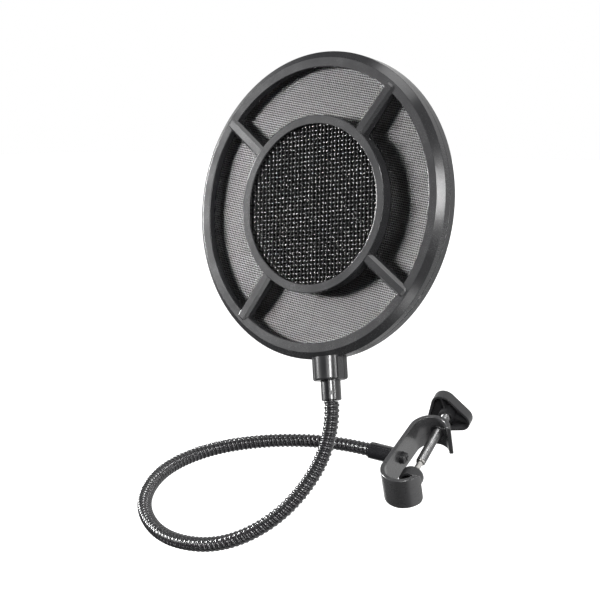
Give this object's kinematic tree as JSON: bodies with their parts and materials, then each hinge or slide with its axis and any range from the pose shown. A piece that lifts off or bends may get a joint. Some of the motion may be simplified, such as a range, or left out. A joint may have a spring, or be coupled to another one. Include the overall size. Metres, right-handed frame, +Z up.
{
  "type": "pop filter",
  "caption": "Round two-shell screen head with ribbed mesh, on a bendable gooseneck arm with a screw clamp that grips a microphone stand.",
  "frame": {"origin": "centre of the pole that the clamp's hook grips", "axes": "+Z up, the screen head's front faces -Y and slightly down, +X to the head's right seen from the front"},
  "size_m": [0.1876, 0.2018, 0.2488],
  "materials": {
    "shell_plastic": "fine-grained matte black moulding",
    "fine_mesh": "fine woven wire, light grey",
    "coarse_mesh": "coarse woven wire, coated black",
    "spacer_plastic": "plain matte black",
    "gauze": "thin black gauze",
    "screw_steel": "zinc plated",
    "screw_black": "black oxide",
    "ferrule_black": "gloss black plating",
    "gooseneck_black": "gloss black wound wire",
    "bracket_black": "semi-gloss powder coat",
    "thread_steel": "bright zinc plated",
    "knob_plastic": "satin black moulding"
  },
  "bodies": {
    "clamp": {"bracket": "bracket_black", "arm_screw": "screw_black", "lock_washer": "screw_black", "threaded_bush": "screw_black", "lower_ferrule": "ferrule_black", "lower_grub_screw": "screw_steel", "gooseneck_1": "gooseneck_black"},
    "arm_2": {"gooseneck_2": "gooseneck_black"},
    "arm_3": {"gooseneck_3": "gooseneck_black"},
    "arm_4": {"gooseneck_4": "gooseneck_black"},
    "arm_5": {"gooseneck_5": "gooseneck_black"},
    "arm_6": {"gooseneck_6": "gooseneck_black"},
    "arm_7": {"gooseneck_7": "gooseneck_black"},
    "arm_8": {"gooseneck_8": "gooseneck_black"},
    "head": {"gooseneck_9": "gooseneck_black", "upper_ferrule": "ferrule_black", "upper_grub_screw": "screw_steel", "boss_screw": "screw_steel", "front_shell": "shell_plastic", "rear_shell": "shell_plastic", "shell_screws": "screw_steel", "coarse_screen_front": "coarse_mesh", "spacer_ring_front": "spacer_plastic", "fine_screen_front": "fine_mesh", "spacer_ring_outer": "spacer_plastic", "gauze_disc": "gauze", "fine_screen_rear": "fine_mesh", "spacer_ring_rear": "spacer_plastic", "coarse_screen_rear": "coarse_mesh"},
    "pad_carrier": {"pad_washer": "screw_steel"},
    "spindle": {"clamp_screw": "thread_steel", "knob": "knob_plastic", "knob_insert": "thread_steel"},
    "pad": {"pressure_pad": "knob_plastic"}
  },
  "joints": [
    {"name": "bend_1_yaw", "type": "hinge", "parent": "clamp", "child": "arm_2", "pos_m": [-0.06751, -0.00414, 0.01491], "axis": [0.004, 0.0025, 1], "range_deg": [-20, 20]},
    {"name": "bend_2_pitch", "type": "hinge", "parent": "arm_2", "child": "arm_3", "pos_m": [-0.09325, -0.03025, 0.01355], "axis": [-0.8575, 0.5145, 0], "range_deg": [-20, 20]},
    {"name": "bend_3_yaw", "type": "hinge", "parent": "arm_3", "child": "arm_4", "pos_m": [-0.10375, -0.06525, 0.00855], "axis": [-0.0074, -0.1857, 0.9826], "range_deg": [-20, 20]},
    {"name": "bend_4_pitch", "type": "hinge", "parent": "arm_4", "child": "arm_5", "pos_m": [-0.095, -0.10125, -0.0005], "axis": [-0.8759, -0.4824, 0], "range_deg": [-20, 20]},
    {"name": "bend_5_yaw", "type": "hinge", "parent": "arm_5", "child": "arm_6", "pos_m": [-0.0675, -0.12825, -0.0105], "axis": [0.1888, -0.1023, 0.9767], "range_deg": [-20, 20]},
    {"name": "bend_6_pitch", "type": "hinge", "parent": "arm_6", "child": "arm_7", "pos_m": [-0.03, -0.13635, -0.01405], "axis": [0.0843, -0.9964, 0], "range_deg": [-20, 20]},
    {"name": "bend_7_yaw", "type": "hinge", "parent": "arm_7", "child": "arm_8", "pos_m": [0.00355, -0.12625, -0.0032], "axis": [-0.443, -0.2664, 0.856], "range_deg": [-20, 20]},
    {"name": "bend_8_pitch", "type": "hinge", "parent": "arm_8", "child": "head", "pos_m": [0.02102, -0.10532, 0.02224], "axis": [0.9644, -0.2645, 0], "range_deg": [-20, 20]},
    {"name": "screw_travel", "type": "slide", "parent": "clamp", "child": "pad_carrier", "axis": [-0.171, 0.8512, 0.4961], "range_m": [-0.0008, 0.022]},
    {"name": "screw_turn", "type": "hinge", "parent": "pad_carrier", "child": "spindle", "pos_m": [-0.00178, 0.02626, 0.01451], "axis": [-0.171, 0.8512, 0.4961], "range_deg": [-361, 9901]},
    {"name": "pad_tilt", "type": "hinge", "parent": "pad_carrier", "child": "pad", "pos_m": [0.00217, 0.0066, 0.00305], "axis": [0.9654, 0.2454, -0.0883], "range_deg": [-4, 4]}
  ],
  "couplings": [
    {"joint": "screw_turn", "follows": "screw_travel", "rad_per_m": 7854}
  ]
}
